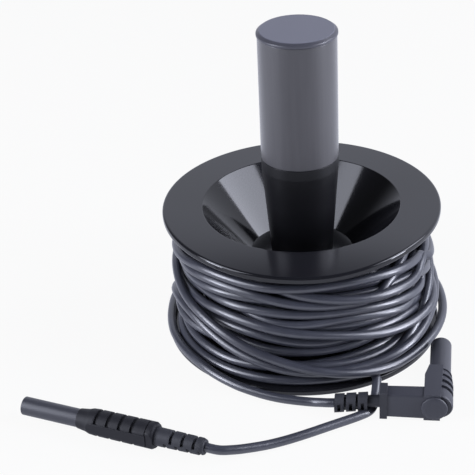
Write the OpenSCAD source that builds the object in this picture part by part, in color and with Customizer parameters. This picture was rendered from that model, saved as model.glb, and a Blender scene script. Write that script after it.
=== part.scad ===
// Long test lead with a 4 mm safety plug on each end, wound on a hand reel.
// The reel is a drum of two funnel-shaped mouldings. It turns on a spindle under a
// tubular handle. Millimetres, +Z up, origin on the floor under the drum's axis.

/* [Drum] */
// Diameter of both flanges
flange_d = 120; // [116:1:130]
// Thickness of a flange at its rim
flange_t = 3; // [2.4:0.2:4]
// Height of the whole drum, flange to flange
drum_h = 60; // [58:1:70]
// Diameter of a funnel at its mouth
mouth_d = 85.6; // [80:0.2:90]
// Diameter of a funnel at its floor
floor_d = 44.4; // [42:0.2:50]
// Depth of a funnel from the flange face to its floor
funnel_depth = 23.5; // [20:0.5:24]
// Wall of the funnels and their floors
shell_wall = 2.4; // [2:0.1:3]
// Radius of the rounded flange edges
rim_round = 1; // [0.6:0.1:1.1]

/* [Handle] */
// Outer diameter of the handle tube
handle_d = 33; // [31:0.5:36]
// Wall of the handle tube
handle_wall = 2; // [1.6:0.1:3]
// Length of the straight handle tube
handle_len = 55; // [40:0.5:100]
// Height of the tube's lower end above the drum
neck_rise = 23; // [18:0.5:28]
// Height of the neck's straight collar, just below the tube
neck_collar = 4.5; // [3:0.1:6]
// Diameter of the tapered neck at its lower end
neck_foot_d = 26.6; // [25:0.2:29]
// Wall of the tapered neck
neck_wall = 2.2; // [1.8:0.1:3]
// Running gap between the neck and the funnel floor
neck_gap = 0.5; // [0.4:0.1:1]
// Thickness of the end cap's head
cap_t = 2.3; // [2:0.1:4]
// Overhang of the end cap past the tube
cap_lip = 0.4; // [0.2:0.1:1]
// Depth that the cap and the neck plug into the tube
plug_in = 9; // [6:0.5:14]

/* [Spindle] */
// Diameter of the spindle bolt
bolt_d = 8; // [7:0.5:9]
// Width across flats of the bolt head and its nuts
hex_w = 13; // [12.5:0.5:14]
// Height of the bolt head
head_h = 5.3; // [4:0.1:7]
// Height of the clamp nut and of the lock nut
nut_h = 6.5; // [5:0.1:8]
// Diameter of the washers
washer_d = 16; // [15:0.5:17]
// Thickness of the washers
washer_t = 1.6; // [1:0.1:2]
// Length of the handle bush below its flange
bush_len = 15; // [10:0.5:20]
// Wall of the handle bush
bush_wall = 1.95; // [1.5:0.05:2.5]
// Thickness of the bush flange
bush_flange_t = 1; // [0.8:0.1:1.6]
// Running clearance of the bush, on the radius
run_gap = 0.05; // [0.02:0.01:0.09]
// End play of the handle on its spindle
end_play = 0.2; // [0.1:0.1:0.4]

/* [Screws] */
// Number of screws that join the two drum halves
screw_count = 3; // [3:1:6]
// Diameter of the screw shank
screw_d = 3; // [2.5:0.5:3.5]
// Diameter of the screw head
screw_head_d = 5.6; // [5:0.2:7]
// Height of the screw head
screw_head_h = 2; // [1.5:0.1:3]
// Distance of the screws from the axis
screw_ring_r = 15; // [14:0.5:16]
// Wall of the screw bosses
screw_boss_wall = 1.9; // [1.6:0.1:2.4]

/* [Lead] */
// Outer diameter of the lead
lead_d = 3.9; // [3.4:0.1:4]
// Diameter of its bare conductor
wire_d = 1.9; // [1.2:0.1:2.2]
// Outer diameter of the winding
wind_d = 112; // [108:0.5:113]
// Clearance between the winding and the drum
wind_gap = 0.4; // [0.3:0.1:0.8]

/* [Straight plug] */
// Outer diameter of the shroud
sp_shroud_d = 7.7; // [7.5:0.1:8]
// Length of shroud that stands out of the grip
sp_shroud_len = 25.8; // [20:0.2:30]
// Largest diameter of the grip
sp_grip_d = 11.2; // [10.6:0.1:13]
// Length of the grip
sp_grip_len = 34.8; // [32:0.2:40]
// Length of the grip's tapered nose
sp_nose_len = 5; // [3:0.5:6]
// Number of finger grooves
sp_grooves = 4; // [3:1:4]
// Pitch of the finger grooves
sp_groove_pitch = 5.4; // [4.5:0.1:5.4]
// Depth of the finger grooves
sp_groove_depth = 0.9; // [0.5:0.1:1]
// Width of the smooth side panels
sp_panel_w = 4.8; // [3:0.2:5.6]
// Length of the boot behind the grip
sp_boot_len = 21.4; // [18:0.2:26]
// Diameter of the boot at the grip
sp_boot_d = 7.8; // [7.4:0.1:8.4]
// Diameter of the boot at its free end
sp_boot_tip_d = 7; // [6.6:0.1:7.4]
// Number of staggered boot slots
sp_slots = 7; // [5:1:7]
// Pitch of the boot slots
sp_slot_pitch = 2.5; // [2.2:0.1:2.5]

/* [Angled plug] */
// Outer diameter of the shroud
ap_shroud_d = 8.9; // [8.5:0.1:9.2]
// Length of shroud that stands out of the body
ap_shroud_len = 23; // [18:0.5:28]
// Distance from the lead's axis to the front of the body
ap_body_len = 17.6; // [16:0.2:22]
// Largest diameter of the ribbed body
ap_body_d = 11.2; // [10.8:0.1:12]
// Thickness over the body's flat panels
ap_panel_t = 12.4; // [11.8:0.1:12.6]
// Length of the arm from the shroud's axis to the collar
ap_arm_len = 21; // [18:0.2:26]
// Depth of the arm
ap_arm_w = 7.5; // [7.2:0.1:8.4]
// Height of the arm at the collar
ap_arm_h = 10.5; // [9.6:0.1:11]
// Height of the collar, which the plug stands on
ap_collar_h = 13; // [12.8:0.1:13.2]
// Depth of the collar
ap_collar_w = 8.5; // [8.4:0.1:9.4]
// Thickness of the collar
ap_collar_t = 3; // [2:0.1:3.4]
// Diameter of the boot's neck
ap_neck_d = 5; // [4.8:0.1:5]
// Length of the boot's neck
ap_neck_len = 5; // [5:0.1:6]
// Diameter of the boot rings
ap_ring_d = 7.8; // [7:0.1:8.2]
// Length of a boot ring
ap_ring_len = 3.9; // [3:0.1:4]
// Gap between the boot rings
ap_ring_gap = 0.9; // [0.8:0.1:1.6]
// Diameter of the end cap
ap_cap_d = 10.7; // [9.6:0.1:10.8]
// Height of the end cap's domed face
ap_cap_t = 1.4; // [1:0.1:2]

/* [Contacts] */
// Diameter of the contact pins
pin_d = 4; // [3.9:0.1:4.1]
// Distance of a pin's tip behind the shroud's end
pin_inset = 2; // [1:0.5:4]
// Length of a contact spring
spring_len = 14; // [10:0.5:16]
// Wall of a contact spring
spring_wall = 0.25; // [0.15:0.05:0.3]
// Number of spring leaves
spring_leaves = 8; // [6:1:8]
// Wall of the shrouds
shroud_wall = 0.8; // [0.6:0.1:1.1]
// Depth that a shroud plugs into its body
shroud_seat = 6; // [4:0.5:6.5]
// Diameter of a pin's crimp barrel
barrel_d = 4.6; // [4.2:0.1:4.8]
// Clearance of seated pieces, on the radius
seat_gap = 0.05; // [0.03:0.01:0.08]

/* [Hidden] */
$fn = 64;
eps = 0.01;

// Drum heights, measured from its mid-plane
half_h = drum_h / 2;
mouth_r = mouth_d / 2;
floor_r = floor_d / 2;
floor_top = half_h - funnel_depth;
floor_under = floor_top - shell_wall;
cone_slope = (mouth_r - floor_r) / funnel_depth;
cone_wall = shell_wall * sqrt(1 + cone_slope * cone_slope);
hub_r = floor_r + shell_wall;
flange_under = half_h - flange_t;
hub_top = floor_top + (hub_r - floor_r - cone_wall) / cone_slope;
function cone_back_r(z) = floor_r + (z - floor_top) * cone_slope + cone_wall;
centre_boss_r = washer_d / 2;
bolt_hole_r = bolt_d / 2 + run_gap;
lip_h = 2;
lip_t = 1.4;
screw_boss_r = screw_d / 2 + screw_boss_wall;
screw_len = floor_under + shell_wall + floor_under + 1;

// Spindle and handle heights above the floor
deck_z = half_h + floor_top;
under_deck_z = half_h - floor_top;
head_z = under_deck_z - washer_t - head_h;
clamp_top = deck_z + nut_h;
thrust_top = clamp_top + washer_t;
bush_z = thrust_top + end_play;
web_z = bush_z + bush_flange_t;
bush_top = web_z + bush_len;
keeper_z = bush_top + end_play;
lock_z = keeper_z + washer_t;
bolt_top = lock_z + nut_h + 2;
neck_z = deck_z + neck_gap;
tube_z = drum_h + neck_rise;
collar_z = tube_z - neck_collar;
tube_top = tube_z + handle_len;
tube_bore_r = handle_d / 2 - handle_wall;
spigot_r = tube_bore_r - seat_gap;
spigot_wall = 2;
neck_foot_r = neck_foot_d / 2;
neck_slope = (handle_d / 2 - neck_foot_r) / (collar_z - neck_z);
function neck_r(z) = neck_foot_r + (z - neck_z) * neck_slope;
bush_r = bolt_d / 2 + run_gap + bush_wall;
nut_room_r = washer_d / 2 + 1;
web_top = bush_top - 1;
cap_r = handle_d / 2 + cap_lip;
cap_round = 1.5;
cap_foot = 0.3;

// The straight plug lies on its grip, tip towards the left front
sp_turn = -22;
sp_at = [-116, -70.1, sp_grip_d / 2];
sp_grip_end = sp_shroud_len + sp_grip_len;
sp_end = sp_grip_end + sp_boot_len;
sp_boot_seat = 5;
sp_collar_len = 3;
sp_groove_w = 1.6;
sp_first_groove = sp_shroud_len + 8.6;
sp_panel_from = sp_shroud_len + 3.6;
sp_panel_to = sp_grip_end - sp_collar_len;
sp_panel_y = sp_grip_d / 2 - 0.45;
sp_first_slot = sp_grip_end + 4.4;
slot_w = 1.2;
slot_core_r = lead_d / 2 + 0.6;

// The angled plug stands on its collar. Its own frame has the shroud along +Y and
// the lead's arm along -X
ap_turn = -6;
ap_at = [54.2, -74.3, ap_collar_h / 2];
ap_arm_y = -1.2;
ap_back_y = -4.2;
ap_tip_y = ap_body_len + ap_shroud_len;
ap_front_r = ap_shroud_d / 2 + 0.45;
ap_taper_y = ap_body_len - 7.4;
ap_rib_pitch = 4.3;
ap_rib_w = 2.4;
ap_rib_depth = 1.1;
ap_collar_x = -ap_arm_len - ap_collar_t;
ap_rings_x = ap_collar_x - ap_neck_len;
ap_ring_step = ap_ring_len + ap_ring_gap;
ap_end_x = ap_rings_x - 3 * ap_ring_len - 2 * ap_ring_gap;
ap_tongue_len = 5;
ap_tongue = [ap_arm_w - 3, ap_arm_h - 4];
ap_cap_x = -1.9;
ap_cap_seat = ap_arm_y - barrel_d / 2 - ap_back_y - 0.2;

// Route of the lead from the straight plug, in front of the drum, under the neck of
// the angled plug's boot and over the lower flange into the winding
straight_route = [
    [-35.6, -102.1, 4.9], [-31, -101.8, 3.4], [-26, -99.4, 2.3], [-19, -97.3, 2],
    [-10.5, -94.8, 2], [-2, -91.8, 2], [5.5, -88.6, 2], [12, -85.2, 2],
    [17.4, -82.4, 2], [21.8, -80, 2], [25.2, -77.4, 2], [27.1, -74.4, 2],
    [27.8, -71, 2], [28.4, -67, 2], [29, -63, 2.7], [29.6, -59, 4.1],
    [29.9, -55, 5.3], [29.4, -51.5, 6], [28.6, -48, 6.6]];
// Route of the lead from the angled plug, round the left of the drum on the lower
// flange and up into the winding behind
angled_route = [
    [7, -70.6, 6.1], [1.8, -70, 4.8], [-3.6, -69, 3.2], [-10, -67.2, 2.2],
    [-17.5, -64, 2], [-25, -59.8, 2], [-32.6, -54.6, 2.4], [-40, -48, 3.6],
    [-46.4, -40.4, 4.9], [-51.6, -31, 5.4], [-55.6, -19.8, 5.4], [-58.4, -5, 5.6],
    [-58.6, 8, 7.4], [-55.8, 18, 10], [-50.6, 25.6, 12.4], [-45.8, 29.6, 13.8]];
tube_sides = 8;

// Shapes that several pieces share
module ring(r_out, r_in, h) {
    difference() {
        cylinder(r = r_out, h = h);
        translate([0, 0, -1]) cylinder(r = r_in, h = h + 2);
    }
}

module hex_prism(across, h) {
    cylinder(r = across / sqrt(3), h = h, $fn = 6);
}

// A shape turned about +Z is laid with its axis along +X or +Y
module along_x() {
    rotate([0, 90, 0]) children();
}

module along_y() {
    rotate([-90, 0, 0]) children();
}

module place_straight() {
    translate(sp_at) rotate([0, 0, sp_turn]) children();
}

module place_angled() {
    translate(ap_at) rotate([0, 0, ap_turn]) children();
}

// Drum
module flange_edge() {
    // Rim of the flange, with both edges rounded
    square_r = flange_d / 2 - rim_round;
    translate([mouth_r, flange_under]) square([square_r - mouth_r, flange_t]);
    translate([square_r - eps, flange_under + rim_round])
        square([rim_round + eps, flange_t - 2 * rim_round]);
    for (z = [flange_under + rim_round, half_h - rim_round])
        translate([square_r, z]) circle(r = rim_round, $fn = 32);
}

module shell_profile() {
    flange_edge();
    polygon([
        [floor_r, floor_top], [mouth_r, half_h], [mouth_r + cone_wall, half_h],
        [cone_back_r(flange_under), flange_under], [hub_r, hub_top], [hub_r, 0],
        [hub_r - shell_wall, 0], [hub_r - shell_wall, floor_under],
        [centre_boss_r, floor_under], [centre_boss_r, 0], [bolt_hole_r, 0],
        [bolt_hole_r, floor_top]]);
}

module screw_places() {
    for (i = [0 : screw_count - 1])
        rotate([0, 0, 30 + i * 360 / screw_count])
            translate([screw_ring_r, 0, 0]) children();
}

module upper_shell() {
    color("#26282e") translate([0, 0, half_h]) difference() {
        union() {
            rotate_extrude($fn = 160) shell_profile();
            screw_places() cylinder(r = screw_boss_r, h = floor_under + eps);
        }
        screw_places() translate([0, 0, -1])
            cylinder(r = screw_d / 2 + seat_gap, h = floor_under + 2);
    }
}

module lower_shell() {
    lip_r = hub_r - shell_wall - 0.1;
    color("#26282e") translate([0, 0, half_h]) difference() {
        union() {
            mirror([0, 0, 1]) rotate_extrude($fn = 160) shell_profile();
            screw_places() translate([0, 0, -floor_under - eps])
                cylinder(r = screw_boss_r, h = floor_under + eps);
            translate([0, 0, -floor_under - eps]) ring(lip_r, lip_r - lip_t, floor_under + lip_h);
        }
        screw_places() translate([0, 0, -floor_top - 1])
            cylinder(r = screw_d / 2 + 0.15, h = floor_top + 2);
    }
}

module shell_screws() {
    color("#8d9096") translate([0, 0, under_deck_z]) screw_places() difference() {
        union() {
            cylinder(d = screw_d, h = screw_len);
            translate([0, 0, -screw_head_h]) cylinder(d = screw_head_d, h = screw_head_h);
        }
        for (a = [0, 90]) rotate([0, 0, a])
            translate([-1.6, -0.3, -screw_head_h - 1]) cube([3.2, 0.6, 2]);
    }
}

// Spindle
module spindle_bolt() {
    color("#b4b7bd") translate([0, 0, head_z]) {
        hex_prism(hex_w, head_h);
        cylinder(d = bolt_d, h = bolt_top - head_z);
    }
}

module flat_washer() {
    ring(washer_d / 2, bolt_hole_r, washer_t);
}

module hex_nut() {
    difference() {
        hex_prism(hex_w, nut_h);
        translate([0, 0, -1]) cylinder(r = bolt_hole_r, h = nut_h + 2);
    }
}

module head_washer() {
    color("#b4b7bd") translate([0, 0, head_z + head_h]) flat_washer();
}

module clamp_nut() {
    color("#b4b7bd") translate([0, 0, deck_z]) hex_nut();
}

module thrust_washer() {
    color("#d9d6cc") translate([0, 0, clamp_top]) flat_washer();
}

module retaining_washer() {
    color("#b4b7bd") translate([0, 0, keeper_z]) flat_washer();
}

module lock_nut() {
    color("#b4b7bd") translate([0, 0, lock_z]) hex_nut();
}

// Handle
module handle_tube() {
    color("#4b4d56") translate([0, 0, tube_z]) ring(handle_d / 2, tube_bore_r, handle_len);
}

module handle_neck() {
    // A taper out of the funnel, a straight collar, and a spigot inside the tube
    inner_r = min(spigot_r - spigot_wall, neck_r(web_top) - neck_wall);
    color("#232428") rotate_extrude($fn = 96) polygon([
        [nut_room_r, neck_z], [neck_foot_r, neck_z],
        [handle_d / 2, collar_z], [handle_d / 2, tube_z],
        [spigot_r, tube_z], [spigot_r, tube_z + plug_in], [inner_r, tube_z + plug_in],
        [inner_r, web_top], [bush_r + seat_gap, web_top],
        [bush_r + seat_gap, web_z], [nut_room_r, web_z]]);
}

module handle_cap() {
    // Head with a rounded edge, and a hollow plug inside the tube
    color("#3c3e46") translate([0, 0, tube_top]) {
        rotate_extrude($fn = 96) intersection() {
            square([cap_r, cap_t]);
            union() {
                square([cap_r - cap_round, cap_t]);
                translate([0, cap_foot]) square([cap_r, cap_t - cap_round - cap_foot]);
                translate([cap_r - cap_round, cap_t - cap_round]) circle(r = cap_round, $fn = 48);
                polygon([[0, 0], [cap_r - cap_foot, 0], [cap_r, cap_foot], [0, cap_foot]]);
            }
        }
        translate([0, 0, -plug_in]) ring(spigot_r, spigot_r - spigot_wall, plug_in + eps);
    }
}

module handle_bush() {
    color("#cfc9b4") translate([0, 0, bush_z]) {
        ring(washer_d / 2, bolt_hole_r, bush_flange_t);
        ring(bush_r, bolt_hole_r, bush_flange_t + bush_len);
    }
}

// Lead
module lead_wound() {
    // Outer shape of all the turns, between the flanges and on the double funnel
    gap_r = wind_gap * sqrt(1 + cone_slope * cone_slope);
    top = flange_under - wind_gap;
    side = cone_back_r(top) + gap_r;
    color("#3a3e4b") translate([0, 0, half_h]) rotate_extrude($fn = 160) polygon([
        [hub_r + wind_gap, -hub_top], [side, -top], [wind_d / 2, -top],
        [wind_d / 2, top], [side, top], [hub_r + wind_gap, hub_top]]);
}

// A tube swept along a route: Catmull-Rom points, one ring on each
function unit(v) = v / norm(v);
function spline(a, b, c, d, t) = 0.5 * (2 * b + (c - a) * t
    + (2 * a - 5 * b + 4 * c - d) * t * t + (3 * b - a - 3 * c + d) * t * t * t);
function between(p) = [for (i = [0 : len(p) - 2]) for (t = [0, 0.5])
    spline(p[max(i - 1, 0)], p[i], p[i + 1], p[min(i + 2, len(p) - 1)], t)];
function smooth(p) = concat(between(p), [p[len(p) - 1]]);
function heading(p, i) = unit(p[min(i + 1, len(p) - 1)] - p[max(i - 1, 0)]);
function ring_points(p, i, along) =
    let (side = unit(cross(along, [0, 0, 1])), top = cross(side, along))
    [for (k = [0 : tube_sides - 1]) let (a = (k + 0.5) * 360 / tube_sides)
        p[i] + lead_d / 2 * (cos(a) * side + sin(a) * top)];

module swept_lead(route, start_dir) {
    path = smooth(route);
    last = len(path) - 1;
    points = [for (i = [0 : last])
        each ring_points(path, i, i == 0 ? start_dir : heading(path, i))];
    walls = [for (i = [0 : last - 1]) for (k = [0 : tube_sides - 1])
        let (n = (k + 1) % tube_sides, a = i * tube_sides, b = a + tube_sides)
        each [[a + k, b + k, b + n], [a + k, b + n, a + n]]];
    start = [for (k = [0 : tube_sides - 1]) k];
    finish = [for (k = [tube_sides - 1 : -1 : 0]) last * tube_sides + k];
    polyhedron(points = points, faces = concat(walls, [start, finish]), convexity = 6);
}

function turned(v, a) = [v[0] * cos(a) - v[1] * sin(a), v[0] * sin(a) + v[1] * cos(a), v[2]];

module lead_tail_straight() {
    exit = sp_at + turned([sp_end, 0, 0], sp_turn);
    color("#3a3e4b") swept_lead(concat([exit], straight_route), turned([1, 0, 0], sp_turn));
}

module lead_tail_angled() {
    exit = ap_at + turned([ap_end_x, ap_arm_y, 0], ap_turn);
    color("#3a3e4b") swept_lead(concat([exit], angled_route), turned([-1, 0, 0], ap_turn));
}

// Contacts, drawn along +Z from the tip of the shroud
module shroud_tube(d, length) {
    // Sleeve that steps down to the spigot inside the plug
    ring(d / 2, d / 2 - shroud_wall, length);
    ring(d / 2 - shroud_step, d / 2 - shroud_wall, length + shroud_seat);
}

shroud_step = 0.25;
pin_waist_r = pin_d / 2 - 0.45;
pin_nose = 2.2;
pin_land = 1.4;

module pin_shaft(shoulder) {
    // Rounded nose, a land, the waist that the spring sits on and a land up to the shoulder
    nose_r = 0.9;
    waist_z = pin_inset + pin_nose + pin_land;
    rotate_extrude() {
        polygon([
            [0, pin_inset], [pin_d / 2 - nose_r, pin_inset],
            [pin_d / 2, pin_inset + pin_nose], [pin_d / 2, waist_z], [pin_waist_r, waist_z],
            [pin_waist_r, waist_z + spring_len], [pin_d / 2, waist_z + spring_len],
            [pin_d / 2, shoulder], [0, shoulder]]);
    }
}

module contact_spring() {
    // Barrel-shaped sleeve with leaves between slots
    inner = pin_waist_r + 0.03;
    bulge = pin_d / 2 + 0.15 - spring_wall;
    z0 = pin_inset + pin_nose + pin_land + 0.05;
    z1 = z0 + spring_len - 0.1;
    quarter = (z1 - z0) / 4;
    difference() {
        rotate_extrude() polygon([
            [inner, z0], [inner + spring_wall, z0],
            [bulge - 0.05 + spring_wall, z0 + quarter], [bulge + spring_wall, z0 + 2 * quarter],
            [bulge - 0.05 + spring_wall, z1 - quarter], [inner + spring_wall, z1],
            [inner, z1], [bulge - 0.05, z1 - quarter], [bulge, z0 + 2 * quarter],
            [bulge - 0.05, z0 + quarter]]);
        for (i = [0 : spring_leaves - 1]) rotate([0, 0, (i + 0.5) * 360 / spring_leaves])
            translate([0.5, -0.2, z0 + 2]) cube([3, 0.4, z1 - z0 - 4]);
    }
}

// Straight plug
sp_shoulder = sp_shroud_len + shroud_seat + 2;
sp_barrel_end = sp_grip_end - 11;
sp_wire_in = 7;

module straight_shroud() {
    color("#3d3e46") place_straight() along_x() shroud_tube(sp_shroud_d, sp_shroud_len);
}

module straight_pin() {
    color("#d2b060") place_straight() along_x() difference() {
        union() {
            pin_shaft(sp_shoulder + 1);
            translate([0, 0, sp_shoulder])
                cylinder(d = barrel_d, h = sp_barrel_end - sp_shoulder);
        }
        translate([0, 0, sp_barrel_end - sp_wire_in])
            cylinder(r = wire_d / 2 + seat_gap, h = sp_wire_in + 1);
    }
}

module straight_spring() {
    color("#dcdcd8") place_straight() along_x() contact_spring();
}

module grip_revolve(grooved) {
    // Tapered nose, finger grooves, and a collar behind the last groove
    big = sp_grip_d / 2;
    z0 = sp_shroud_len;
    rotate_extrude() difference() {
        polygon([
            [0, z0], [sp_shroud_d / 2 + 0.3, z0], [big - 0.9, z0 + sp_nose_len - 1.2],
            [big - 0.3, z0 + sp_nose_len + 0.6], [big - 0.1, z0 + sp_nose_len + 3],
            [big, sp_grip_end - 1], [big - 0.6, sp_grip_end], [0, sp_grip_end]]);
        if (grooved) {
            for (i = [0 : sp_grooves - 1])
                translate([big - sp_groove_depth, sp_first_groove + i * sp_groove_pitch])
                    square([2, sp_groove_w]);
            translate([big - 0.35, sp_grip_end - sp_collar_len - 0.5]) square([2, 0.5]);
        }
    }
}

module straight_grip() {
    flat = sp_panel_y - 0.3;
    color("#33343b") place_straight() difference() {
        union() {
            intersection() {
                along_x() grip_revolve(true);
                translate([0, -flat, -sp_grip_d]) cube([sp_end, 2 * flat, 2 * sp_grip_d]);
            }
            intersection() {
                along_x() grip_revolve(false);
                translate([sp_panel_from, -sp_panel_y, -sp_panel_w / 2])
                    cube([sp_panel_to - sp_panel_from, 2 * sp_panel_y, sp_panel_w]);
            }
        }
        along_x() {
            translate([0, 0, sp_shroud_len - 1])
                cylinder(r = sp_shroud_d / 2 - shroud_step + seat_gap, h = shroud_seat + 1);
            translate([0, 0, sp_shroud_len]) cylinder(r = pin_d / 2 + seat_gap, h = shroud_seat + 3);
            translate([0, 0, sp_shoulder])
                cylinder(r = barrel_d / 2 + seat_gap, h = sp_barrel_end - sp_shoulder);
            translate([0, 0, sp_barrel_end - 1])
                cylinder(r = lead_d / 2 + seat_gap, h = sp_grip_end - sp_barrel_end);
            translate([0, 0, sp_grip_end - sp_boot_seat])
                cylinder(r = sp_boot_d / 2 - 0.5 + seat_gap, h = sp_boot_seat + 1);
        }
    }
}

module straight_boot() {
    slot_depth_r = sp_boot_d / 2 + 1;
    color("#26272c") place_straight() difference() {
        along_x() rotate_extrude() polygon([
            [lead_d / 2 + seat_gap, sp_grip_end - sp_boot_seat],
            [sp_boot_d / 2 - 0.5, sp_grip_end - sp_boot_seat],
            [sp_boot_d / 2 - 0.5, sp_grip_end], [sp_boot_d / 2, sp_grip_end],
            [sp_boot_tip_d / 2 + 0.1, sp_end - 1.4], [sp_boot_tip_d / 2 - 0.4, sp_end],
            [lead_d / 2 + seat_gap, sp_end]]);
        for (i = [0 : sp_slots - 1])
            translate([sp_first_slot + i * sp_slot_pitch, 0, 0]) difference() {
                translate([0, -slot_depth_r, i % 2 == 0 ? -slot_depth_r : 0.2])
                    cube([slot_w, 2 * slot_depth_r, slot_depth_r - 0.2]);
                translate([-1, 0, 0]) along_x() cylinder(r = slot_core_r, h = slot_w + 2);
            }
    }
}

module straight_lead_end() {
    stop = sp_barrel_end + 0.4;
    color("#3a3e4b") place_straight() along_x() {
        translate([0, 0, stop]) cylinder(d = lead_d, h = sp_end - stop);
        translate([0, 0, sp_barrel_end - sp_wire_in + 0.5])
            cylinder(d = wire_d, h = stop - sp_barrel_end + sp_wire_in);
    }
}

// Angled plug
ap_shoulder_y = ap_body_len - shroud_seat - 2;
ap_barrel_x = -9;
ap_wire_in = 4.5;

module from_tip() {
    // Contacts are drawn along +Z from the tip, which points along +Y here
    translate([0, ap_tip_y, 0]) rotate([90, 0, 0]) children();
}

module angled_shroud() {
    color("#4a4c55") place_angled() from_tip() shroud_tube(ap_shroud_d, ap_shroud_len);
}

module angled_pin_solid(grow) {
    // Pin, its round base on the lead's axis, and the crimp barrel along the arm
    from_tip() pin_shaft(ap_tip_y - ap_shoulder_y);
    translate([0, -2.8 - grow, 0]) along_y()
        cylinder(r = 3 + grow, h = ap_shoulder_y + 2.8 + grow + eps);
    translate([ap_barrel_x - grow, ap_arm_y, 0]) along_x()
        cylinder(r = barrel_d / 2 + grow, h = -ap_barrel_x + grow);
}

module angled_pin() {
    color("#d2b060") place_angled() difference() {
        angled_pin_solid(0);
        translate([ap_barrel_x - 1, ap_arm_y, 0]) along_x()
            cylinder(r = wire_d / 2 + seat_gap, h = ap_wire_in + 1);
    }
}

module angled_spring() {
    color("#dcdcd8") place_angled() from_tip() contact_spring();
}

module ribbed_body() {
    // Barrel round the pin with finger ribs, tapering to the shroud
    big = ap_body_d / 2;
    along_y() rotate_extrude() difference() {
        polygon([
            [0, ap_back_y], [big - 0.5, ap_back_y], [big, ap_back_y + 0.8], [big, ap_taper_y],
            [ap_front_r, ap_body_len], [0, ap_body_len]]);
        for (i = [0 : 3])
            translate([big - ap_rib_depth, 1.4 + i * ap_rib_pitch])
                square([ap_rib_depth + 1, ap_rib_w]);
    }
}

module body_panels() {
    // Smooth flat panels above and below, one block from the arm to the shroud
    half_t = ap_panel_t / 2;
    translate([0, 0, -half_t]) linear_extrude(ap_panel_t) polygon([
        [-6.2, ap_back_y - 0.7], [0.4, ap_back_y - 0.7], [1.3, ap_body_len - 0.2],
        [-ap_front_r + 0.4, ap_body_len - 0.2], [-6.2, ap_taper_y]]);
}

module arm_block() {
    // Arm, a little taller towards the body, with its long edges broken
    from = -ap_arm_len;
    half_w = ap_arm_w / 2;
    half_a = ap_arm_h / 2;
    half_b = half_a + 0.45;
    edge = 0.6;
    intersection() {
        translate([0, ap_arm_y + half_w, 0]) rotate([90, 0, 0]) linear_extrude(ap_arm_w)
            polygon([[from, -half_a], [-4, -half_b], [-4, half_b], [from, half_a]]);
        translate([from, ap_arm_y, 0]) rotate([90, 0, 90]) linear_extrude(ap_arm_len)
            polygon([
                [-half_w, -half_b + 1.2], [-half_w + edge, -half_b], [half_w - edge, -half_b],
                [half_w, -half_b + 1.2], [half_w, half_b - 1.2], [half_w - edge, half_b],
                [-half_w + edge, half_b], [-half_w, half_b - 1.2]]);
    }
}

module angled_body() {
    color("#33343b") place_angled() difference() {
        union() {
            ribbed_body();
            body_panels();
            arm_block();
        }
        angled_pin_solid(seat_gap);
        translate([0, ap_body_len - shroud_seat, 0]) along_y()
            cylinder(r = ap_shroud_d / 2 - shroud_step + seat_gap, h = shroud_seat + 1);
        translate([ap_cap_x, ap_back_y - 2, 0]) along_y()
            cylinder(r = ap_cap_d / 2 - 1.2 + seat_gap, h = 2 + ap_cap_seat + seat_gap);
        translate([-ap_arm_len - 1, ap_arm_y, 0]) along_x()
            cylinder(r = lead_d / 2 + seat_gap, h = ap_arm_len + ap_barrel_x + 1);
        translate([-ap_arm_len - 1, ap_arm_y - ap_tongue[0] / 2 - seat_gap,
                   -ap_tongue[1] / 2 - seat_gap])
            cube([ap_tongue_len + 1 + seat_gap, ap_tongue[0] + 2 * seat_gap,
                  ap_tongue[1] + 2 * seat_gap]);
    }
}

module angled_end_cap() {
    // Shallow domed button that closes the pin's hole behind
    r = ap_cap_d / 2;
    face = ap_back_y - 0.75;
    color("#3b3c44") place_angled() translate([ap_cap_x, 0, 0]) {
        translate([0, face, 0]) rotate([90, 0, 0]) rotate_extrude() polygon([
            [0, 0], [r, 0], [r, 0.5], [r - 0.35, 0.9], [r - 1.6, ap_cap_t - 0.15],
            [r - 3, ap_cap_t], [0, ap_cap_t]]);
        translate([0, face - eps, 0]) along_y()
            cylinder(r = r - 1.2, h = ap_back_y - face + ap_cap_seat + eps);
    }
}

module boot_ring(index) {
    // Ring with a window on each side, down to the core
    core = slot_core_r;
    x0 = ap_rings_x - index * ap_ring_step - ap_ring_len;
    win = ap_ring_len / 3;
    translate([x0, 0, 0]) difference() {
        along_x() cylinder(d = ap_ring_d, h = ap_ring_len);
        for (s = [-1, 1]) translate([win, s > 0 ? core - 0.6 : -ap_ring_d, -1.9])
            cube([win, ap_ring_d - core + 0.6, 3.4]);
    }
}

module angled_boot() {
    half_w = ap_collar_w / 2;
    half_h = ap_collar_h / 2;
    edge = 0.7;
    color("#26272c") place_angled() translate([0, ap_arm_y, 0]) difference() {
        union() {
            translate([ap_collar_x, 0, 0]) rotate([90, 0, 90]) linear_extrude(ap_collar_t)
                polygon([
                    [-half_w + edge, -half_h], [half_w - edge, -half_h], [half_w, -half_h + edge],
                    [half_w, half_h - edge], [half_w - edge, half_h], [-half_w + edge, half_h],
                    [-half_w, half_h - edge], [-half_w, -half_h + edge]]);
            translate([-ap_arm_len - eps, -ap_tongue[0] / 2, -ap_tongue[1] / 2])
                cube([ap_tongue_len, ap_tongue[0], ap_tongue[1]]);
            translate([ap_end_x, 0, 0]) along_x()
                cylinder(d = ap_neck_d, h = ap_collar_x - ap_end_x + eps);
            for (i = [0 : 2]) boot_ring(i);
            for (i = [0 : 1], s = [-1, 1])
                translate([ap_rings_x - i * ap_ring_step - ap_ring_len - ap_ring_gap - eps,
                           -0.7, s > 0 ? 1 : -ap_ring_d / 2 + 0.5])
                    cube([ap_ring_gap + 2 * eps, 1.4, ap_ring_d / 2 - 1.5]);
        }
        translate([ap_end_x - 1, 0, 0]) along_x()
            cylinder(r = lead_d / 2 + seat_gap, h = ap_arm_len + ap_tongue_len + 30);
    }
}

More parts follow.
